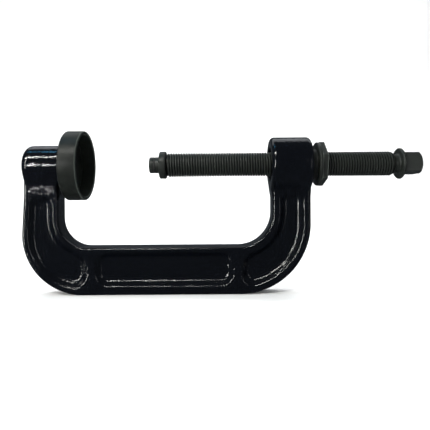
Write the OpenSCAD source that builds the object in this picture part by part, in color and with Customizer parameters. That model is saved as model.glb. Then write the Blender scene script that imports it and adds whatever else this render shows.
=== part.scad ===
// Forged C-frame screw clamp of the press type, in millimetres, +Z up.
// Origin: on the pressing axis, in the plane of the receiving cup's rim.
// +X runs along the pressing axis towards the square drive end.

/* [Frame] */
// Thickness of the frame's arms and spine, front to back
frame_t = 29; // [24:1:36]
// Distance from the pressing axis down to the underside of the spine
spine_bottom = 158.5; // [145:0.5:175]
// Distance from the pressing axis down to the top of the spine
spine_top = 100.5; // [90:0.5:112]
// Depth of the dished pockets in the front and back faces
pocket_depth = 6.5; // [3:0.5:9]
// Distance from the frame's edge to the middle of a pocket's sloping wall
pocket_rim = 10.5; // [8:0.5:12]

/* [Bosses] */
// Outside diameter of the boss that holds the receiving cup
left_boss_d = 50; // [46:1:60]
// Outside diameter of the boss that holds the threaded sleeve
right_boss_d = 67; // [60:1:76]
// Radius of the rounding on the ends of the bosses
boss_round = 4; // [1:0.5:6]

/* [Receiving cup] */
// Outside diameter of the cup
cup_od = 86; // [70:1:96]
// Inside diameter of the cup
cup_id = 77.5; // [60:0.5:84]
// Depth of the cup, rim to floor
cup_depth = 17; // [10:0.5:18]
// Outside diameter of the cup's spigot
spigot_d = 34; // [30:0.5:38]
// Diameter of the hole through the cup's floor and spigot
cup_hole_d = 22; // [20:0.5:25]

/* [Spindle] */
// Major diameter of the spindle's thread
thread_d = 30.16; // [24:0.02:32]
// Lead of the thread, the travel for each turn
thread_lead = 3.175; // [2:0.005:6]
// Diameter of the collar in front of the drive square
rear_collar_d = 38.5; // [34:0.5:46]
// Width across the flats of the drive square
square_af = 24; // [19:0.5:27]
// Angle that the square stands at about the pressing axis
square_turn = 80; // [0:1:89]

/* [Nose] */
// Outside diameter of the nose cap's collar
nose_collar_d = 34; // [30:0.5:40]
// Diameter of the pilot that adapters fit on
pilot_d = 20; // [16:0.5:22]

/* [Sleeve nut] */
// Width across the flats of the sleeve nut's hexagon, behind its round flange
hex_af = 48.5; // [44:0.5:52]
// Outside diameter of the sleeve that screws into the boss
sleeve_d = 42; // [38:0.5:46]
// Angle that the hexagon stands at about the pressing axis
hex_turn = 10; // [0:1:59]

/* [Hidden] */
$fn = 96;
// Frame outline, in the plane of the pressing axis
left_out = -72.5;
left_toe = -75.3;
left_in = -31;
right_in = 230.6;
right_out = 277.5;
boss_in = 228.8;
boss_out = 278.3;
left_arc_r = 74;
left_arc_x = left_toe + left_arc_r;
right_arc_r = 86.5;
right_arc_x = right_out - right_arc_r;
left_in_r = 35;
left_in_x = left_in + left_in_r;
right_in_r = 41.5;
right_in_x = right_in - right_in_r;
half_t = frame_t / 2;
// Stations along the pressing axis
cup_back = -21.5;
spigot_end = -35.5;
seat_end = -36;
sleeve_left = 243;
flange_x0 = 285.6;
flange_d = 54;
hex_x0 = 289.8;
hex_x1 = 296.2;
pilot_x = 79.4;
nose_x = 92;
nose_back = 100.4;
journal_x = 93.4;
thread_x0 = 101.9;
thread_x1 = 378;
neck_r = 11.4;
rear_x0 = 388.4;
rear_x1 = 392.8;
square_x1 = 414.6;
ball_d = 9.525;
ball_x = pilot_x + 11.2;
journal_d = 20;
ring_x = 97;
o_ring_x = 86;
cup_o_x = -29;
cup_o_wire = 2.6;

// A solid of revolution about the pressing axis; points are [radius, x]
module spun(points) {
  rotate([0, 90, 0])
    rotate_extrude($fn = 128)
      polygon(points);
}

// A torus about the pressing axis
module ring_at(x, mean_r, wire_d) {
  translate([x, 0, 0])
    rotate([0, 90, 0])
      rotate_extrude($fn = 128)
        translate([mean_r, 0])
          circle(d = wire_d, $fn = 32);
}

// A plane outline in X and Z, thickened from y0 to y1
module slab(y0, y1) {
  translate([0, y1, 0])
    rotate([90, 0, 0])
      linear_extrude(height = y1 - y0)
        children();
}

module rect(x0, z0, x1, z1) {
  translate([x0, z0])
    square([x1 - x0, z1 - z0]);
}

module disc(x, z, r) {
  translate([x, z])
    circle(r = r, $fn = 128);
}

// The frame's outer outline pulled in by d
module outer_outline(d) {
  polygon([[left_out + d, 0], [left_out + d, -36], [left_toe + d, -spine_bottom + left_arc_r],
           [right_out - d, -spine_bottom + right_arc_r], [right_out - d, 0]]);
  rect(left_toe + d, -spine_bottom + left_arc_r - 3, 60, -spine_bottom + left_arc_r);
  rect(left_arc_x, -spine_bottom + d, right_arc_x, -spine_top + 20);
  disc(left_arc_x, -spine_bottom + left_arc_r, left_arc_r - d);
  disc(right_arc_x, -spine_bottom + right_arc_r, right_arc_r - d);
}

// The throat between the arms, let out by d
module throat_outline(d) {
  rect(left_in - d, -spine_top + left_in_r, right_in + d, 60);
  rect(left_in_x, -spine_top - d, right_in_x, 0);
  disc(left_in_x, -spine_top + left_in_r, left_in_r + d);
  disc(right_in_x, -spine_top + right_in_r, right_in_r + d);
}

module frame_band(d) {
  difference() {
    outer_outline(d);
    throat_outline(d);
  }
}

// A rectangle with rounded corners
module soft_rect(x0, z0, x1, z1, r) {
  rect(x0 + r, z0, x1 - r, z1);
  rect(x0, z0 + r, x1, z1 - r);
  disc(x0 + r, z0 + r, r);
  disc(x1 - r, z0 + r, r);
  disc(x0 + r, z1 - r, r);
  disc(x1 - r, z1 - r, r);
}

// The three pockets: up the left arm, along the spine and up the right arm
module pockets() {
  d = pocket_rim;
  arm_l = (left_toe + left_in) / 2;
  arm_r = (right_out + right_in) / 2;
  low = (spine_top + spine_bottom) / 2;
  difference() {
    intersection() {
      frame_band(d);
      union() {
        rect(left_toe, -spine_bottom, left_in + 40, -52);
        disc(arm_l + 0.6, -52, (left_in - left_toe) / 2 - d);
      }
    }
    rect(-9, -spine_top + 20, 30, -20);
    difference() {
      rect(-9, -spine_bottom, 30, -spine_top + 30);
      disc(-9, -low, spine_bottom / 2 - spine_top / 2 - d);
    }
  }
  soft_rect(20, -spine_bottom + d + 1.5, 178, -spine_top - d + 1.5, 12);
  difference() {
    intersection() {
      frame_band(d + 0.5);
      union() {
        rect(right_in - 40, -spine_bottom, right_out, -56);
        disc(arm_r, -56, (right_out - right_in) / 2 - d - 0.5);
      }
    }
    difference() {
      rect(180, -spine_bottom, 216, -spine_top + 30);
      disc(216, -low - 2, spine_bottom / 2 - spine_top / 2 - d + 4);
      rect(210, -low, 230, -spine_top + 30);
    }
  }
}

// A boss about the pressing axis with rounded ends
module boss(x0, x1, d) {
  r = d / 2;
  k = boss_round;
  union() {
    spun([[0, x0], [r - k, x0], [r, x0 + k], [r, x1 - k], [r - k, x1], [0, x1]]);
    ring_at(x0 + k, r - k, 2 * k);
    ring_at(x1 - k, r - k, 2 * k);
  }
}

module c_frame() {
  color([0.03, 0.03, 0.035])
    difference() {
      union() {
        difference() {
          slab(-half_t, half_t)
            frame_band(0);
          slab(-half_t - 1, -half_t + pocket_depth)
            pockets();
          slab(half_t - pocket_depth, half_t + 1)
            pockets();
        }
        boss(left_out, cup_back - 0.1, left_boss_d);
        boss(boss_in, boss_out, right_boss_d);
      }
      spun([[0, left_out - 1], [16.5, left_out - 1], [15, left_out + 1], [15, seat_end],
            [spigot_d / 2 + 0.05, seat_end], [spigot_d / 2 + 0.05, cup_back + 1],
            [0, cup_back + 1]]);
      spun([[0, boss_in - 1], [sleeve_d / 2 + 2.05, boss_in - 1],
            [sleeve_d / 2 + 0.05, boss_in + 1], [sleeve_d / 2 + 0.05, boss_out + 1],
            [0, boss_out + 1]]);
    }
}

module receiving_cup() {
  r = cup_od / 2;
  q = cup_id / 2;
  s = spigot_d / 2;
  h = cup_hole_d / 2;
  color([0.17, 0.18, 0.175])
    difference() {
      spun([[h, cup_back], [h, spigot_end + 0.6], [h + 0.6, spigot_end],
            [s - 0.8, spigot_end], [s, spigot_end + 0.8], [s, cup_back],
            [r - 1, cup_back], [r, cup_back + 1], [r, -1.1], [r - 1.1, 0],
            [q + 0.5, 0], [q, -0.5], [q, -cup_depth], [h + 0.6, -cup_depth],
            [h, -cup_depth - 0.6]]);
      ring_at(cup_o_x, s, cup_o_wire + 0.2);
    }
}

module cup_o_ring() {
  color([0.02, 0.02, 0.02])
    difference() {
      ring_at(cup_o_x, spigot_d / 2, cup_o_wire);
      spun([[spigot_d / 2, cup_o_x - 3], [spigot_d / 2 + 4, cup_o_x - 3],
            [spigot_d / 2 + 4, cup_o_x + 3], [spigot_d / 2, cup_o_x + 3]]);
    }
}

module sleeve_nut() {
  s = sleeve_d / 2;
  b = thread_d / 2 + 0.05;
  h = hex_af / 2;
  color([0.17, 0.18, 0.175])
    difference() {
      union() {
        spun([[0, sleeve_left], [s - 1.2, sleeve_left], [s, sleeve_left + 1.2],
              [s, boss_out + 0.8], [s - 2.5, boss_out + 2.2], [s - 2.5, flange_x0],
              [flange_d / 2 - 0.8, flange_x0], [flange_d / 2, flange_x0 + 0.8],
              [flange_d / 2, hex_x0 - 0.4], [flange_d / 2 - 0.4, hex_x0], [s, hex_x0],
              [s, hex_x0 + 1], [0, hex_x0 + 1]]);
        intersection() {
          translate([hex_x0, 0, 0])
            rotate([hex_turn, 0, 0])
              rotate([0, 90, 0])
                cylinder(d = hex_af / cos(30), h = hex_x1 - hex_x0, $fn = 6);
          spun([[0, hex_x0], [h + 4, hex_x0], [h + 4, hex_x1 - 0.5], [h + 3.2, hex_x1],
                [0, hex_x1]]);
        }
      }
      spun([[0, sleeve_left - 1], [b + 1.6, sleeve_left - 1], [b, sleeve_left + 1.2],
            [b, hex_x1 - 1.2], [b + 1.6, hex_x1 + 1], [0, hex_x1 + 1]]);
    }
}

module screw_spindle() {
  t = thread_d / 2;
  root = t - 2.1;
  c = rear_collar_d / 2;
  j = journal_d / 2;
  color([0.17, 0.18, 0.175])
    difference() {
      union() {
        spun([[0, journal_x], [j - 0.8, journal_x], [j, journal_x + 0.8],
              [j, thread_x0 - 0.9], [root, thread_x0 - 0.9], [root, thread_x0], [t, thread_x0 + 1.6],
              [t, thread_x1], [neck_r, thread_x1 + 4.2], [neck_r, rear_x0 - 1.5],
              [neck_r + 1.5, rear_x0], [c - 1.2, rear_x0], [c, rear_x0 + 1.2], [c, rear_x1 - 1.2],
              [c - 1.2, rear_x1], [0, rear_x1]]);
        intersection() {
          rotate([square_turn, 0, 0])
            translate([rear_x1 - 1, -square_af / 2, -square_af / 2])
              cube([square_x1 - rear_x1 + 1, square_af, square_af]);
          spun([[0, rear_x1 - 1], [square_af * 0.69, rear_x1 - 1],
                [square_af * 0.69, square_x1 - 3.4], [square_af / 2 + 1.2, square_x1],
                [0, square_x1]]);
        }
      }
      ring_at(ring_x, j, 1.8);
      translate([ball_x, 0, 0])
        sphere(d = ball_d + 0.1, $fn = 64);
    }
}

module thrust_ball() {
  color([0.7, 0.7, 0.72])
    translate([ball_x, 0, 0])
      sphere(d = ball_d, $fn = 64);
}

module nose_retaining_ring() {
  color([0.4, 0.4, 0.41])
    difference() {
      ring_at(ring_x, journal_d / 2, 1.6);
      translate([ring_x - 2, -1.5, journal_d / 2 - 3])
        cube([4, 3, 6]);
    }
}

module nose_cap() {
  n = nose_collar_d / 2;
  p = pilot_d / 2;
  j = journal_d / 2 + 0.06;
  w = ball_d / 2 + 0.08;
  color([0.17, 0.18, 0.175])
    difference() {
      spun([[0, pilot_x], [p - 0.9, pilot_x], [p, pilot_x + 0.9], [p, o_ring_x - 1],
            [p - 1.1, o_ring_x - 1], [p - 1.1, o_ring_x + 1], [p, o_ring_x + 1],
            [p, nose_x], [n - 1, nose_x], [n, nose_x + 1], [n, nose_back - 0.9],
            [n - 0.9, nose_back], [j, nose_back], [j, journal_x - 0.3],
            [w, journal_x - 0.3], [w, ball_x - ball_d / 2 - 0.05],
            [0, ball_x - ball_d / 2 - 0.05]]);
      ring_at(ring_x, journal_d / 2, 1.8);
    }
}

module pilot_o_ring() {
  color([0.02, 0.02, 0.02])
    spun([[pilot_d / 2 - 1.08, o_ring_x - 0.7], [pilot_d / 2 - 0.5, o_ring_x - 0.9],
          [pilot_d / 2 - 0.12, o_ring_x - 0.5], [pilot_d / 2 - 0.12, o_ring_x + 0.5],
          [pilot_d / 2 - 0.5, o_ring_x + 0.9], [pilot_d / 2 - 1.08, o_ring_x + 0.7]]);
}

c_frame();
receiving_cup();
cup_o_ring();
sleeve_nut();
screw_spindle();
thrust_ball();
nose_retaining_ring();
nose_cap();
pilot_o_ring();
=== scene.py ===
"""Look of the forged C-frame screw clamp: lights, floor, camera, detailed pieces and their finishes."""

import math

import bmesh
import bpy
import numpy as np
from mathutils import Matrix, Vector


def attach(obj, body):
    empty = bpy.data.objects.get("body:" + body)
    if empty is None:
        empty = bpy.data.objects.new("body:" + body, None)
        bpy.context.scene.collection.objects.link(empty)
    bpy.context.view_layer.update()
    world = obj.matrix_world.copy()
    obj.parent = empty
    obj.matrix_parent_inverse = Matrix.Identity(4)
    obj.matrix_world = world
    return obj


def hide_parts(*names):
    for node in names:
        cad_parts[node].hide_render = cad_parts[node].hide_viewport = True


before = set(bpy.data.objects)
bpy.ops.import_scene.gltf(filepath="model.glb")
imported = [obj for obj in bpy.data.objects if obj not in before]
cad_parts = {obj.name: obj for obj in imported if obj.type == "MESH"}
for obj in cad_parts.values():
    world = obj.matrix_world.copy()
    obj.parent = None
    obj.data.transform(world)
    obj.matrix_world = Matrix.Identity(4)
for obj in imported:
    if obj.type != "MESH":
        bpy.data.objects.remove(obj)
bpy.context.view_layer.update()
MM = 0.001

# ---------------------------------------------------------------- sizes, in millimetres
# These repeat the solids' own dimensions, so that every piece stays inside its node's box.
HALF_T = 14.5
SPINE_BOTTOM = -158.5
SPINE_TOP = -100.5
LEFT_OUT, LEFT_TOE, LEFT_IN, RIGHT_IN, RIGHT_OUT = -72.5, -75.3, -31.0, 230.6, 277.5
LEFT_R, RIGHT_R = 74.0, 86.5
LEFT_IN_R, RIGHT_IN_R = 35.0, 41.5
LEFT_BOSS_R, RIGHT_BOSS_R = 25.0, 33.5
BOSS_IN, BOSS_OUT = 228.8, 278.3
EDGE_R = 3.6
POCKET_DEPTH = 6.8
POCKET_WALL = 8.2
THREAD_R, LEAD = 15.08, 3.175
THREAD_ROOT = THREAD_R - 1.75
THREAD_START, THREAD_END = 101.9, 380.9
SQUARE_FLAT, SQUARE_TURN, SCREW_END = 12.0, -10.0, 414.6
HEX_FLAT, HEX_TURN, HEX_FROM, HEX_TO, FLANGE_R = 24.25, 10.0, 289.8, 296.2, 27.0


# ---------------------------------------------------------------- mesh helpers
def put_mesh(name, points, faces, body, replaces=(), smooth_deg=32.0):
    """Put points (n,3) in millimetres and quads (m,4) into a mesh, merge doubled points, turn faces outward."""
    mesh = bpy.data.meshes.new(name)
    mesh.from_pydata((np.asarray(points, dtype=float) * MM).tolist(), [], np.asarray(faces).tolist())
    made = bmesh.new()
    made.from_mesh(mesh)
    bmesh.ops.remove_doubles(made, verts=made.verts, dist=2e-6)
    bmesh.ops.dissolve_degenerate(made, edges=made.edges, dist=1e-6)
    bmesh.ops.recalc_face_normals(made, faces=made.faces)
    made.to_mesh(mesh)
    made.free()
    mesh.shade_smooth()
    mesh.set_sharp_from_angle(angle=math.radians(smooth_deg))
    piece = bpy.data.objects.new(name, mesh)
    bpy.context.scene.collection.objects.link(piece)
    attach(piece, body)
    if replaces:
        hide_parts(*replaces)
    return piece


def grid_faces(rows, columns, wrap_columns=True, wrap_rows=False):
    """Quads of a rows by columns grid of points, closed across its columns or its rows on request."""
    r = np.arange(rows if wrap_rows else rows - 1)
    c = np.arange(columns if wrap_columns else columns - 1)
    r, c = np.meshgrid(r, c, indexing="ij")
    r2, c2 = (r + 1) % rows, (c + 1) % columns
    quad = np.stack([r * columns + c, r * columns + c2, r2 * columns + c2, r2 * columns + c], axis=-1)
    return quad.reshape(-1, 4)


def smooth_step(t):
    """Nought below 0, one above 1, and 3t squared less 2t cubed between them."""
    t = np.clip(t, 0.0, 1.0)
    return t * t * (3.0 - 2.0 * t)


def soft_max(a, b, k):
    """The larger of a and b, with a fillet of about k where they meet."""
    h = np.clip(0.5 + 0.5 * (a - b) / k, 0.0, 1.0)
    return b + (a - b) * h + k * h * (1.0 - h)


def lathe_points(stations, around=160):
    """Points (x, r cos a, r sin a) and open-ended faces for stations (x, radius) about the X axis."""
    stations = np.asarray(stations, dtype=float)
    angle = np.linspace(0.0, 2.0 * np.pi, around, endpoint=False)
    x = np.repeat(stations[:, :1], around, axis=1)
    points = np.stack([x, stations[:, 1:] * np.cos(angle), stations[:, 1:] * np.sin(angle)], axis=-1)
    return points.reshape(-1, 3), grid_faces(len(stations), around)


def turned(name, stations, body, replaces=(), around=160, closed=False):
    """A lathe piece: stations (x, radius) turned about the X axis, point = (x, r cos a, r sin a)."""
    points, _ = lathe_points(stations, around)
    return put_mesh(name, points, grid_faces(len(stations), around, True, closed), body, replaces)


def fillet_path(corners, radius=0.3, steps=4):
    """The same polyline with every inner corner rounded: each corner is swapped for a quadratic arc
    that starts and ends at most radius away from it, or 0.4 of the shorter side."""
    corners = np.asarray(corners, dtype=float)
    out = [corners[0]]
    t = np.linspace(0.0, 1.0, steps)[:, None]
    for before, at, after in zip(corners[:-2], corners[1:-1], corners[2:]):
        a, b = before - at, after - at
        la, lb = np.linalg.norm(a), np.linalg.norm(b)
        reach = min(radius, 0.4 * la, 0.4 * lb)
        p, q = at + a / la * reach, at + b / lb * reach
        out.extend((1 - t) ** 2 * p + 2 * t * (1 - t) * at + t**2 * q)
    out.append(corners[-1])
    return np.array(out)


# ---------------------------------------------------------------- the forged frame
LEFT_ARC = (LEFT_TOE + LEFT_R, SPINE_BOTTOM + LEFT_R)
RIGHT_ARC = (RIGHT_OUT - RIGHT_R, SPINE_BOTTOM + RIGHT_R)
LEFT_IN_ARC = (LEFT_IN + LEFT_IN_R, SPINE_TOP + LEFT_IN_R)
RIGHT_IN_ARC = (RIGHT_IN - RIGHT_IN_R, SPINE_TOP + RIGHT_IN_R)
LEFT_ARC_START = (LEFT_TOE, LEFT_ARC[1])


def outline_pairs():
    """Two matching paths along the C, outer and inner, from the top of the left boss round to the top
    of the right one: straight down an arm, a quarter circle round a corner, straight along the spine."""

    def line(a, b, n):
        t = np.linspace(0.0, 1.0, n, endpoint=False)[:, None]
        return np.array(a) * (1 - t) + np.array(b) * t

    def arc(centre, r, a0, a1, n):
        a = np.radians(np.linspace(a0, a1, n, endpoint=False))
        return np.stack([centre[0] + r * np.cos(a), centre[1] + r * np.sin(a)], axis=-1)

    def down_boss(x, r, n):
        """Heights round a boss, even in the angle from its top."""
        z = r * np.cos(np.linspace(0.0, np.radians(140.0), n, endpoint=False))
        return np.stack([np.full_like(z, x), z], axis=-1)

    def low(r):
        return r * math.cos(math.radians(140.0))

    outer = np.concatenate([
        down_boss(LEFT_OUT, LEFT_BOSS_R, 64),
        line((LEFT_OUT, low(LEFT_BOSS_R)), (LEFT_OUT, -36.0), 26),
        line((LEFT_OUT, -36.0), (LEFT_OUT - 1.3, -58.0), 26),
        line((LEFT_OUT - 1.3, -58.0), LEFT_ARC_START, 12),
        arc(LEFT_ARC, LEFT_R, 180, 270, 90),
        line((LEFT_ARC[0], SPINE_BOTTOM), (RIGHT_ARC[0], SPINE_BOTTOM), 150),
        arc(RIGHT_ARC, RIGHT_R, 270, 360, 96),
        line((RIGHT_OUT, RIGHT_ARC[1]), (RIGHT_OUT, -50.0), 14),
        line((RIGHT_OUT, -50.0), (RIGHT_OUT, low(RIGHT_BOSS_R)), 34),
        down_boss(RIGHT_OUT, RIGHT_BOSS_R, 70)[::-1],
    ])
    inner = np.concatenate([
        down_boss(LEFT_IN, LEFT_BOSS_R, 64),
        line((LEFT_IN, low(LEFT_BOSS_R)), (LEFT_IN, -36.0), 26),
        line((LEFT_IN, -36.0), (LEFT_IN, -58.0), 26),
        line((LEFT_IN, -58.0), (LEFT_IN, LEFT_IN_ARC[1]), 12),
        arc(LEFT_IN_ARC, LEFT_IN_R, 180, 270, 90),
        line((LEFT_IN_ARC[0], SPINE_TOP), (RIGHT_IN_ARC[0], SPINE_TOP), 150),
        arc(RIGHT_IN_ARC, RIGHT_IN_R, 270, 360, 96),
        line((RIGHT_IN, RIGHT_IN_ARC[1]), (RIGHT_IN, -50.0), 14),
        line((RIGHT_IN, -50.0), (RIGHT_IN, low(RIGHT_BOSS_R)), 34),
        down_boss(RIGHT_IN, RIGHT_BOSS_R, 70)[::-1],
    ])
    # the right boss stands a little proud of the arm at both ends
    for path, proud in ((outer, BOSS_OUT - RIGHT_OUT), (inner, BOSS_IN - RIGHT_IN)):
        path[:, 0] += proud * smooth_step((path[:, 1] + 42.0) / 14.0) * (path[:, 0] > 200.0)
    return outer, inner


def edge_depths(x, z):
    """How far (x, z) lies in from the C's outer edge, and how far out from its throat, in a pair."""
    taper = LEFT_OUT + (LEFT_TOE - LEFT_OUT) * np.clip((-36.0 - z) / (-36.0 - LEFT_ARC[1]), 0.0, 1.0)

    def rounded(x0, x1, z0, a, ra, b, rb):
        straight = np.minimum(np.minimum(x - x0, x1 - x), z - z0)
        left = (x < a[0]) & (z < a[1])
        right = (x > b[0]) & (z < b[1])
        out = np.where(left, ra - np.hypot(x - a[0], z - a[1]), straight)
        return np.where(right, rb - np.hypot(x - b[0], z - b[1]), out)

    outside = rounded(taper, RIGHT_OUT, SPINE_BOTTOM, LEFT_ARC, LEFT_R, RIGHT_ARC, RIGHT_R)
    throat = rounded(LEFT_IN, RIGHT_IN, SPINE_TOP, LEFT_IN_ARC, LEFT_IN_R, RIGHT_IN_ARC, RIGHT_IN_R)
    return outside, -throat


def round_min(a, b, r):
    """The smaller of two depths, with the corner between their edges rounded to radius r."""
    near = (a < r) & (b < r)
    return np.where(near, r - np.hypot(r - a, r - b), np.minimum(a, b))


def pocket_depths(x, z):
    """How far (x, z) lies inside the nearest of the three dished pockets. A pocket is the band pulled
    in from its two edges, and cut across at its two ends, with its four corners rounded."""
    outside, throat = edge_depths(x, z)

    def pocket(out_rim, in_rim, end_a, r_a, end_b, r_b):
        a, b = outside - out_rim, throat - in_rim
        one = round_min(round_min(a, end_a, r_a), end_b, r_b)
        other = round_min(round_min(b, end_a, r_a), end_b, r_b)
        return np.minimum(one, other)

    left = pocket(6.2, 5.0, -36.0 - z, 14.5, 5.5 - x, 22.0)
    spine = pocket(9.4, 4.6, x - 12.6, 17.0, 184.2 - x, 17.0)
    right = pocket(7.4, 8.0, -34.5 - z, 11.0, x - 192.0, 17.0)
    left = np.where((x < 8) & (z < -30), left, -9.0)
    spine = np.where((z < -95) & (x > 9) & (x < 190), spine, -9.0)
    right = np.where((x > 188) & (z < -30), right, -9.0)
    return np.maximum(np.maximum(left, spine), right)


def slope(t):
    """Nought below 0, one above 1, a straight slope between with both its corners eased."""
    low = 0.10
    eased = np.where(t < 2 * low, t * t / (4 * low), t - low)
    eased = np.clip(np.where(t < 0, 0.0, eased) / (1.0 - low), 0.0, None)
    return 1.0 - soft_max(1.0 - eased, np.zeros_like(eased), 0.28)


def boss_reach(x, radius, x0, x1, k=4.0):
    """A boss's radius at x: full, less the quarter-round of radius k at its two ends."""
    inset = np.clip(k - np.minimum(x - x0, x1 - x), 0.0, k)
    return radius - (k - np.sqrt(np.maximum(k * k - inset**2, 0.0)))


def boss_top(x):
    """The radius of whichever boss stands at x."""
    left = boss_reach(x, LEFT_BOSS_R, LEFT_OUT, LEFT_IN + 10.0, 8.5)
    return np.where(x < 80, left, boss_reach(x, RIGHT_BOSS_R, BOSS_IN, BOSS_OUT, 5.0))


def frame_half_thickness(x, z):
    """Half the frame's thickness at (x, z): the flat arm less a dish in each pocket, its edges rounded,
    or the boss's own circle where that is thicker, with a fillet between the two."""
    edge = np.minimum(*edge_depths(x, z))
    dish = slope(pocket_depths(x, z) / POCKET_WALL)
    arm = HALF_T - POCKET_DEPTH * dish
    lip = np.clip(EDGE_R - edge, 0.0, EDGE_R)
    arm = arm - (EDGE_R - np.sqrt(np.maximum(EDGE_R**2 - lip**2, 0.0)))

    swell = np.sqrt(np.maximum(boss_top(x) ** 2 - z**2, 0.0))
    arm = np.where(z > 0, 0.0, arm)
    fillet = 8.0 * smooth_step(-z / 14.0)
    return np.where(fillet > 0.01, soft_max(arm, swell, np.maximum(fillet, 0.01)), np.maximum(arm, swell))


def forged_frame():
    """A closed section carried along the C. At each station the section is y = plus or minus half the
    thickness across the band, with its points closer together near the two edges."""
    outer, inner = outline_pairs()
    across = 74
    u = 0.5 - 0.5 * np.cos(np.linspace(0.0, np.pi, across))
    u = 0.55 * u + 0.45 * np.linspace(0.0, 1.0, across)
    x = outer[:, :1] * (1 - u) + inner[:, :1] * u
    z = outer[:, 1:] * (1 - u) + inner[:, 1:] * u
    top = boss_top(x)
    z = np.minimum(z, top)
    h = frame_half_thickness(x, z)
    edge = np.linspace(1.0, -1.0, 7)[1:-1]
    front = np.stack([x, -h, z], axis=-1)
    back = np.stack([x, h, z], axis=-1)[:, ::-1]

    def wall(column, way):
        at = [column] * len(edge)
        return np.stack([x[:, at], way * h[:, at] * edge, z[:, at]], axis=-1)

    ring = np.concatenate([front, wall(-1, -1), back, wall(0, 1)], axis=1)
    rows, columns = ring.shape[:2]
    return ring.reshape(-1, 3), grid_faces(rows, columns, True, False)


def cut_bore(piece, stations, name):
    """Take a lathe-turned plug out of a piece, and apply the cut."""
    stations = np.asarray(stations, dtype=float)
    ends = np.concatenate([[[stations[0, 0], 0.0]], stations, [[stations[-1, 0], 0.0]]])
    points, faces = lathe_points(ends, 128)
    mesh = bpy.data.meshes.new(name)
    mesh.from_pydata((points * MM).tolist(), [], faces.tolist())
    made = bmesh.new()
    made.from_mesh(mesh)
    bmesh.ops.remove_doubles(made, verts=made.verts, dist=2e-6)
    bmesh.ops.recalc_face_normals(made, faces=made.faces)
    made.to_mesh(mesh)
    made.free()
    cutter = bpy.data.objects.new(name, mesh)
    bpy.context.scene.collection.objects.link(cutter)
    cut = piece.modifiers.new("bore", "BOOLEAN")
    cut.operation = "DIFFERENCE"
    cut.solver = "EXACT"
    cut.object = cutter
    graph = bpy.context.evaluated_depsgraph_get()
    done = bpy.data.meshes.new_from_object(piece.evaluated_get(graph))
    piece.modifiers.clear()
    old = piece.data
    piece.data = done
    bpy.data.meshes.remove(old)
    bpy.data.objects.remove(cutter)
    bpy.data.meshes.remove(mesh)
    done.set_sharp_from_angle(angle=math.radians(38))


points, faces = forged_frame()
forging = put_mesh("forged_frame", points, faces, "frame", ("c_frame",), 48.0)
cut_bore(
    forging,
    [(-78, 21), (-73.0, 17.2), (-71.0, 15.0), (-36.0, 15.0), (-36.0, 17.05), (-33.6, 17.05), (-28.0, 22.0)],
    "left_bore",
)
cut_bore(forging, [(223, 27), (228.0, 23.0), (230.0, 21.05), (276.9, 21.05), (278.6, 22.8), (282, 27)], "right_bore")

# the left boss stands on past the arm's inner face to the back of the cup
boss_stub = turned(
    "left_boss_nose",
    fillet_path(
        [(-36.0, 17.1), (-36.0, 24.95), (-25.8, 24.95), (-22.8, 24.2),
         (-21.6, 21.8), (-21.6, 18.1), (-22.6, 17.1), (-36.0, 17.1)],
        1.4,
        5,
    ),
    "frame",
    closed=True,
)


# ---------------------------------------------------------------- the screw
def spindle():
    """The screw, turned about X. Its thread is a grid sheared along the helix: every row of points is
    x = start + lead * (row + angle / full turn), and its radius goes crest, flank, root, flank, so the
    crests are true helical lines. Ends run out where a cone crosses the thread."""
    around = 96
    angle = np.linspace(0.0, 2.0 * np.pi, around + 1)
    x0, x1 = THREAD_START, THREAD_END
    crest, root = THREAD_R, THREAD_ROOT
    part = np.array([0.0, 0.10, 0.23, 0.29, 0.56, 0.68, 0.94])
    level = np.array([0.97, 1.0, 1.0, 0.93, 0.0, 0.0, 0.93])
    turns = int((x1 - x0) / LEAD) + 4
    phase = (np.arange(turns)[:, None] + part).ravel()
    radius = root + (crest - root) * np.tile(level, turns)
    x = x0 - 2 * LEAD + LEAD * (phase[:, None] + angle / (2.0 * np.pi))
    r = np.repeat(radius[:, None], around + 1, axis=1)
    x = np.clip(x, x0, x1)
    run_in = root + 0.1 + (x - x0) * 1.05
    run_out = root + 0.1 + (x1 - x) * 0.62
    r = np.minimum(r, np.minimum(run_in, run_out))
    points = np.stack([x, r * np.cos(angle), r * np.sin(angle)], axis=-1)
    return points.reshape(-1, 3), grid_faces(len(phase), around + 1, False, False)


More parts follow.
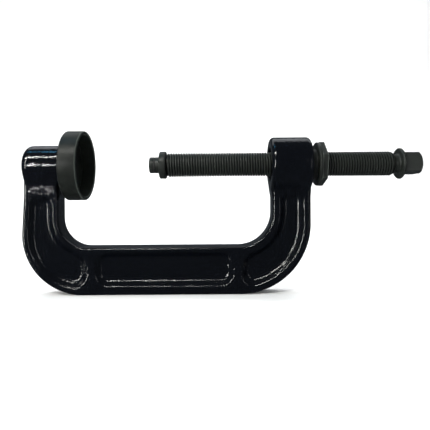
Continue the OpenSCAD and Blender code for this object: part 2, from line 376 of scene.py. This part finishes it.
def prism_head(sides, flat, turn, x_from, x_to, nose, slope, around_side=24, round_corner=0.35):
    """A bar of regular section about X, its far end turned to a cone. At each angle the bar's radius is
    flat / cos of the angle from the nearest flat's middle, softened at the corners, and the cone starts
    where its own radius, nose + slope * distance from the end, crosses it."""
    around = sides * around_side
    angle = np.linspace(0.0, 2.0 * np.pi, around, endpoint=False)
    local = (angle - math.radians(turn) + np.pi / sides) % (2.0 * np.pi / sides) - np.pi / sides
    bar = flat / np.cos(local)
    most = flat / math.cos(math.pi / sides)
    bar = -soft_max(-bar, np.full_like(bar, -(most - round_corner)), round_corner * 1.5)
    cross = np.clip(x_to - np.maximum(bar - nose, 0.0) / slope, x_from, x_to)
    rows = [(np.full(around, x_from), bar)]
    for t in (0.25, 0.5, 0.75, 1.0):
        rows.append((x_from + (cross - 0.25 - x_from) * t, bar))
    soft = np.minimum(bar, nose + slope * (x_to - cross - 0.25) - 0.02)
    rows.append((np.minimum(cross + 0.25, x_to), soft))
    for t in (0.3, 0.6, 1.0):
        x = (cross + 0.25) * (1 - t) + (x_to - 0.3) * t
        rows.append((np.minimum(x, x_to), np.minimum(bar, nose + slope * (x_to - x))))
    rows.append((np.full(around, x_to), np.full(around, nose - 0.4)))
    rows.append((np.full(around, x_to), np.full(around, nose - 1.6)))
    rows.append((np.full(around, x_to), np.zeros(around)))
    x = np.array([row[0] for row in rows])
    r = np.array([row[1] for row in rows])
    points = np.stack([x, r * np.cos(angle), r * np.sin(angle)], axis=-1).reshape(-1, 3)
    return points, grid_faces(len(rows), around)


def combined(*parts):
    """Several point and face sets as one."""
    points, faces, start = [], [], 0
    for p, f in parts:
        points.append(p)
        faces.append(f + start)
        start += len(p)
    return np.concatenate(points), np.concatenate(faces)


front_journal = lathe_points(fillet_path(
    [(95.8, 0.0), (93.4, 4.5), (93.4, 9.2), (94.2, 10.0), (100.9, 10.0),
     (101.0, THREAD_ROOT), (THREAD_START, THREAD_ROOT + 0.1)], 0.15, 3))
rear = lathe_points(fillet_path(
    [(THREAD_END, THREAD_ROOT + 0.1), (382.2, 11.35), (386.9, 11.35), (388.4, 12.8),
     (388.4, 17.7), (389.9, 19.25), (391.4, 19.25), (392.8, 17.8), (392.8, 12.0), (392.8, 0.0)], 0.9, 6))
square = prism_head(4, SQUARE_FLAT, SQUARE_TURN, 392.7, SCREW_END, 13.2, 1.0)
screw = put_mesh("threaded_spindle", *combined(spindle(), front_journal), "screw", ("screw_spindle",), 28.0)
drive_end = put_mesh("collar_and_square", *combined(rear, square), "screw", (), 28.0)

# ---------------------------------------------------------------- nose cap and pilot
nose = turned(
    "swivel_nose",
    fillet_path(
        [(79.4, 0.0), (79.4, 9.0), (80.4, 10.0), (85.0, 10.0), (85.0, 8.9), (87.0, 8.9), (87.0, 10.0), (92.0, 10.0),
         (92.0, 16.0), (93.0, 17.0), (99.5, 17.0), (100.4, 16.1), (100.4, 10.08), (93.1, 10.08), (93.1, 4.85),
         (85.8, 4.85), (85.8, 0.0)],
        0.35, 4),
    "nose", ("nose_cap",),
)

# ---------------------------------------------------------------- receiving cup
cup = turned(
    "cup_body",
    fillet_path(
        [(-17.0, 38.75), (-0.5, 38.75), (0.0, 39.3), (0.0, 42.1), (-0.9, 43.0), (-20.4, 43.0),
         (-21.5, 41.9), (-21.5, 17.0), (-27.5, 17.0), (-27.5, 15.7), (-30.5, 15.7), (-30.5, 17.0),
         (-34.7, 17.0), (-35.5, 16.2), (-35.5, 11.6), (-34.9, 11.0), (-17.6, 11.0), (-17.0, 11.6),
         (-17.0, 38.75)],
        0.5, 4),
    "cup", ("receiving_cup",), around=224, closed=True,
)


# ---------------------------------------------------------------- sleeve nut
def sleeve_nut():
    """The sleeve, its round flange and its hexagon as one turned grid: at each angle the hexagon's radius
    is half the flats over cos of the angle from the nearest flat's middle, softened at its corners."""
    around = 6 * 32
    angle = np.linspace(0.0, 2.0 * np.pi, around, endpoint=False)
    local = (angle - math.radians(HEX_TURN + 30.0)) % (np.pi / 3.0) - np.pi / 6.0
    flat, x0, x1, flange = HEX_FLAT, HEX_FROM, HEX_TO, FLANGE_R
    bar = flat / np.cos(local)
    most = flat / math.cos(math.pi / 6.0)
    bar = -soft_max(-bar, np.full_like(bar, -(most - 0.3)), 0.5)
    ones = np.ones(around)
    bevel = x1 - 0.45
    bore = THREAD_R + 0.06
    rows = []
    for x, r in fillet_path([(243.0, 16.8), (243.0, 19.8), (244.2, 21.0), (279.1, 21.0), (280.5, 18.5),
                             (285.6, 18.5), (285.6, 25.6), (286.8, flange), (289.4, flange),
                             (x0, flange - 0.5), (x0, flat - 0.6)], 0.3, 3):
        rows.append((x * ones, r * ones))
    rows.append((x0 * ones + 0.05, bar))
    for t in (0.33, 0.66, 1.0):
        rows.append((((x0 + 0.05) * (1 - t) + bevel * t) * ones, bar))
    rows.append((x1 * ones, bar - 0.3))
    rows.append((x1 * ones, flat * ones - 0.8))
    for x, r in fillet_path([(x1, flat - 1.2), (x1, 17.2), (294.8, bore), (244.2, bore), (243.0, 16.8)], 0.3, 3):
        rows.append((x * ones, r * ones))
    x = np.array([row[0] for row in rows])
    r = np.array([row[1] for row in rows])
    points = np.stack([x, r * np.cos(angle), r * np.sin(angle)], axis=-1).reshape(-1, 3)
    return points, grid_faces(len(rows), around, True, True)


points, faces = sleeve_nut()
nut = put_mesh("hex_flanged_sleeve", points, faces, "frame", ("sleeve_nut",), 30.0)


# ---------------------------------------------------------------- finishes
def new_material(name):
    made = bpy.data.materials.new(name)
    made.use_nodes = True
    nodes, links = made.node_tree.nodes, made.node_tree.links
    shader = nodes["Principled BSDF"]
    where = nodes.new("ShaderNodeTexCoord")
    return made, nodes, links, shader, where


def noise(nodes, links, vector, scale, detail=3.0, rough=0.5):
    made = nodes.new("ShaderNodeTexNoise")
    made.inputs["Scale"].default_value = scale
    made.inputs["Detail"].default_value = detail
    made.inputs["Roughness"].default_value = rough
    links.new(vector, made.inputs["Vector"])
    return made


def ramp(nodes, links, source, low, high, a, b):
    made = nodes.new("ShaderNodeValToRGB")
    made.color_ramp.elements[0].position = low
    made.color_ramp.elements[1].position = high
    made.color_ramp.elements[0].color = a
    made.color_ramp.elements[1].color = b
    links.new(source, made.inputs["Fac"])
    return made


def gloss_paint():
    """Thick gloss black over a rough forging: slow waves, orange peel, and grit under the paint that
    is stronger in some patches than in others."""
    made, nodes, links, shader, where = new_material("gloss_black_paint")
    shader.inputs["Base Color"].default_value = (0.0014, 0.0018, 0.0030, 1)
    shader.inputs["IOR"].default_value = 1.42
    shader.inputs["Roughness"].default_value = 0.09
    at = where.outputs["Object"]
    lumps = noise(nodes, links, at, 110.0, 2.0)
    peel = noise(nodes, links, at, 300.0, 1.0, 0.5)
    grit = noise(nodes, links, at, 480.0, 2.0, 0.6)
    patches = noise(nodes, links, at, 22.0, 2.0)
    where_grit = ramp(nodes, links, patches.outputs["Fac"], 0.40, 0.62, (0.12, 0.12, 0.12, 1), (1, 1, 1, 1))
    patchy_grit = number(nodes, links, "MULTIPLY", grit.outputs["Fac"], where_grit.outputs["Color"])
    heights = ((lumps.outputs["Fac"], 0.00035), (peel.outputs["Fac"], 0.00024), (patchy_grit, 0.0003))
    last = None
    for source, distance in heights:
        bump = nodes.new("ShaderNodeBump")
        bump.inputs["Strength"].default_value = 1.0
        bump.inputs["Distance"].default_value = distance
        links.new(source, bump.inputs["Height"])
        if last:
            links.new(last.outputs["Normal"], bump.inputs["Normal"])
        last = bump
    links.new(last.outputs["Normal"], shader.inputs["Normal"])
    return made


def black_oxide(name, tone, ior, edges=()):
    """Oiled black oxide on turned steel: faint tool marks across the axis, mottled tone, and painted highlights
    on chosen edges. Each painted highlight is a ring about X: its place, half width, radius and half height."""
    made, nodes, links, shader, where = new_material(name)
    shader.inputs["IOR"].default_value = ior
    at = where.outputs["Object"]
    mottled = noise(nodes, links, at, 120.0, 4.0, 0.6)
    tones = ramp(nodes, links, mottled.outputs["Fac"], 0.3, 0.75,
                 (tone * 0.66, tone * 0.80, tone * 0.70, 1), (tone * 1.15, tone * 1.36, tone * 1.18, 1))
    colour = tones.outputs["Color"]
    if edges:
        place = nodes.new("ShaderNodeSeparateXYZ")
        links.new(at, place.inputs[0])
        reach = axis_distance(nodes, links, at)
        level = None
        for x, half, radius, high in edges:
            on_x = number(nodes, links, "COMPARE", place.outputs["X"], x * MM, half * MM)
            on_r = number(nodes, links, "COMPARE", reach, radius * MM, high * MM)
            both = number(nodes, links, "MULTIPLY", on_x, on_r)
            level = both if level is None else number(nodes, links, "MAXIMUM", level, both)
        # painted highlight: the base colour is raised 5.5 times inside each edge ring
        painted_edge_highlight = number(nodes, links, "MULTIPLY_ADD", level, 4.5, 1.0)
        colour = scaled(nodes, links, colour, painted_edge_highlight)
    links.new(colour, shader.inputs["Base Color"])
    rough = ramp(nodes, links, mottled.outputs["Fac"], 0.3, 0.8, (0.34, 0.34, 0.34, 1), (0.48, 0.48, 0.48, 1))
    links.new(rough.outputs["Color"], shader.inputs["Roughness"])
    stretch = nodes.new("ShaderNodeMapping")
    stretch.inputs["Scale"].default_value = (2200.0, 30.0, 30.0)
    links.new(at, stretch.inputs["Vector"])
    marks = noise(nodes, links, stretch.outputs["Vector"], 1.0, 2.0)
    bump = nodes.new("ShaderNodeBump")
    bump.inputs["Strength"].default_value = 0.15
    bump.inputs["Distance"].default_value = 0.00008
    links.new(marks.outputs["Fac"], bump.inputs["Height"])
    links.new(bump.outputs["Normal"], shader.inputs["Normal"])
    return made


def number(nodes, links, operation, first, second, third=None):
    """One arithmetic node; its inputs are sockets or plain numbers."""
    made = nodes.new("ShaderNodeMath")
    made.operation = operation
    for socket, value in zip(made.inputs, (first, second, third)):
        if isinstance(value, float):
            socket.default_value = value
        elif value is not None:
            links.new(value, socket)
    return made.outputs["Value"]


def scaled(nodes, links, colour, factor):
    made = nodes.new("ShaderNodeVectorMath")
    made.operation = "SCALE"
    links.new(colour, made.inputs[0])
    links.new(factor, made.inputs["Scale"])
    return made.outputs["Vector"]


def axis_distance(nodes, links, at):
    """Distance from the X axis, the square root of y squared plus z squared."""
    flat = nodes.new("ShaderNodeVectorMath")
    flat.operation = "MULTIPLY"
    flat.inputs[1].default_value = (0.0, 1.0, 1.0)
    links.new(at, flat.inputs[0])
    reach = nodes.new("ShaderNodeVectorMath")
    reach.operation = "LENGTH"
    links.new(flat.outputs["Vector"], reach.inputs[0])
    return reach.outputs["Value"]


def painted_thread_shade_oxide():
    """The same oxide on the screw, with painted shade down in the thread and a painted highlight on its crest: its
    tone follows the distance from the X axis, sqrt(y squared plus z squared), from the root of the thread to its
    crest."""
    made = black_oxide("threaded_oxide_steel", 0.0085, 1.36)
    nodes, links = made.node_tree.nodes, made.node_tree.links
    shader = nodes["Principled BSDF"]
    old = shader.inputs["Base Color"].links[0].from_socket
    reach = axis_distance(nodes, links, nodes["Texture Coordinate"].outputs["Object"])
    # painted shade and highlight: the base colour is scaled from 0.02 at the thread's root to 2.2 at its crest
    painted_groove_shade = nodes.new("ShaderNodeMapRange")
    painted_groove_shade.inputs["From Min"].default_value = THREAD_ROOT * MM
    painted_groove_shade.inputs["From Max"].default_value = THREAD_R * MM
    painted_groove_shade.inputs["To Min"].default_value = 0.02
    painted_groove_shade.inputs["To Max"].default_value = 2.2
    links.new(reach, painted_groove_shade.inputs["Value"])
    links.new(scaled(nodes, links, old, painted_groove_shade.outputs["Result"]), shader.inputs["Base Color"])
    return made


def plain_metal(name, tone, roughness):
    made, nodes, links, shader, where = new_material(name)
    shader.inputs["Metallic"].default_value = 1.0
    fine = noise(nodes, links, where.outputs["Object"], 700.0, 3.0)
    tones = ramp(nodes, links, fine.outputs["Fac"], 0.3, 0.8,
                 (tone * 0.85, tone * 0.85, tone * 0.86, 1), (tone, tone, tone, 1))
    links.new(tones.outputs["Color"], shader.inputs["Base Color"])
    shader.inputs["Roughness"].default_value = roughness
    return made


def ring_rubber():
    made, nodes, links, shader, where = new_material("ring_rubber")
    fine = noise(nodes, links, where.outputs["Object"], 900.0, 3.0)
    tones = ramp(nodes, links, fine.outputs["Fac"], 0.3, 0.8, (0.010, 0.010, 0.010, 1), (0.018, 0.018, 0.018, 1))
    links.new(tones.outputs["Color"], shader.inputs["Base Color"])
    shader.inputs["Roughness"].default_value = 0.6
    return made


def finish(piece, material):
    piece.data.materials.clear()
    piece.data.materials.append(material)


PAINT = gloss_paint()
OXIDE = black_oxide("black_oxide_steel", 0.0125, 1.37)
# the rings given to the cup and the nut are painted highlights on their chamfer edges
CUP_OXIDE = black_oxide("cup_oxide_steel", 0.0088, 1.27, [(-0.45, 0.7, 42.5, 0.65), (-0.3, 0.5, 38.95, 0.45)])
NUT_OXIDE = black_oxide("nut_oxide_steel", 0.012, 1.35, [(290.0, 0.45, 26.5, 3.0), (295.9, 0.45, 26.5, 3.0)])
finish(forging, PAINT)
finish(boss_stub, PAINT)
finish(screw, painted_thread_shade_oxide())
finish(cup, CUP_OXIDE)
finish(nut, NUT_OXIDE)
for piece in (nose, drive_end):
    finish(piece, OXIDE)


def refit(node, material):
    """Give a CAD node's object its finish through its own material slots."""
    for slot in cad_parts[node].material_slots:
        slot.material = material


refit("thrust_ball", plain_metal("polished_ball", 0.75, 0.12))
refit("nose_retaining_ring", plain_metal("spring_wire", 0.4, 0.3))
RUBBER = ring_rubber()
refit("cup_o_ring", RUBBER)
refit("pilot_o_ring", RUBBER)


# ---------------------------------------------------------------- studio
def pale_floor():
    """A pale sweep: a flat floor that curves up into a wall behind, one grid of rows across a profile."""
    t = np.linspace(0.0, np.pi / 2, 24)
    y = np.concatenate([[-1600.0], 900.0 + 900.0 * np.sin(t), [1800.0]])
    z = np.concatenate([[0.0], 900.0 - 900.0 * np.cos(t), [2600.0]]) + SPINE_BOTTOM
    x = np.array([-1400.0, 1720.0])
    points = np.stack([np.broadcast_to(x, (len(y), 2)), np.broadcast_to(y[:, None], (len(y), 2)),
                       np.broadcast_to(z[:, None], (len(z), 2))], axis=-1).reshape(-1, 3)
    mesh = bpy.data.meshes.new("pale_sweep")
    mesh.from_pydata((points * MM).tolist(), [], grid_faces(len(y), 2, False).tolist())
    mesh.shade_smooth()
    floor = bpy.data.objects.new("pale_sweep", mesh)
    bpy.context.scene.collection.objects.link(floor)
    made, nodes, links, shader, where = new_material("pale_paper")
    shader.inputs["Base Color"].default_value = (0.93, 0.93, 0.93, 1)
    shader.inputs["Roughness"].default_value = 0.7
    floor.data.materials.append(made)
    floor.visible_glossy = False


def area_light(name, place, target, width, height, power, colour=(1, 1, 1), seen_in_gloss=True):
    data = bpy.data.lights.new(name, "AREA")
    data.shape = "RECTANGLE"
    data.size, data.size_y, data.energy, data.color = width, height, power, colour
    lamp = bpy.data.objects.new(name, data)
    bpy.context.scene.collection.objects.link(lamp)
    lamp.location = place
    lamp.rotation_euler = (Vector(target) - Vector(place)).to_track_quat("-Z", "Y").to_euler()
    lamp.visible_camera = False
    lamp.visible_glossy = seen_in_gloss


pale_floor()
area_light("overhead_softbox", (0.16, 0.25, 1.5), (0.16, 0.3, -0.16), 2.6, 1.2, 32, seen_in_gloss=False)
area_light("wall_wash", (0.16, 0.7, 1.6), (0.16, 1.8, 0.2), 2.4, 0.5, 20, seen_in_gloss=False)
area_light("sky_glow", (0.16, 0.85, 1.3), (0.16, 0.0, -0.05), 2.6, 0.8, 8, (0.93, 0.96, 1.0))
area_light("blue_sky_strip", (-0.50, -0.08, 1.1), (-0.50, -0.02, 0.0), 0.8, 0.035, 1.3, (0.12, 0.50, 0.85))
area_light("high_front_strip", (-0.50, -0.84, 0.94), (-0.50, 0.0, 0.0), 1.1, 0.032, 15.0, (1.0, 1.0, 0.95))
area_light("left_tall_strip", (-0.86, -0.95, 0.08), (0.0, 0.0, 0.08), 0.03, 0.9, 14.0, (1.0, 1.0, 0.95))
area_light("left_near_box", (-0.465, -0.95, 0.09), (-0.05, 0.0, 0.02), 0.03, 0.05, 1.4)
area_light("right_tall_strip", (0.86, -0.90, 0.12), (0.1, 0.0, 0.1), 0.022, 0.8, 1.3)


def studio_world():
    """A dim blue-grey surround that lights the part, and plain white wherever the camera sees past the floor."""
    world = bpy.data.worlds.new("studio")
    bpy.context.scene.world = world
    world.use_nodes = True
    nodes, links = world.node_tree.nodes, world.node_tree.links
    sky = nodes["Background"]
    backdrop = nodes.new("ShaderNodeBackground")
    for shader, colour, strength in ((sky, (0.8, 0.9, 1.0, 1), 0.09), (backdrop, (1, 1, 1, 1), 1.0)):
        shader.inputs["Color"].default_value = colour
        shader.inputs["Strength"].default_value = strength
    seen = nodes.new("ShaderNodeLightPath")
    either = nodes.new("ShaderNodeMixShader")
    links.new(seen.outputs["Is Camera Ray"], either.inputs[0])
    links.new(sky.outputs["Background"], either.inputs[1])
    links.new(backdrop.outputs["Background"], either.inputs[2])
    links.new(either.outputs["Shader"], nodes["World Output"].inputs["Surface"])


studio_world()

# ---------------------------------------------------------------- camera
lens = bpy.data.cameras.new("camera")
lens.lens = 34.7
lens.sensor_width = 36.0
lens.clip_start = 0.01
camera = bpy.data.objects.new("camera", lens)
bpy.context.scene.collection.objects.link(camera)
camera.location = (0.1607, -0.5175, -0.022)
camera.rotation_euler = (math.radians(90.0), math.radians(0.42), 0.0)
lens.shift_y = -0.0757
bpy.context.scene.camera = camera
bpy.context.scene.view_settings.view_transform = "Standard"
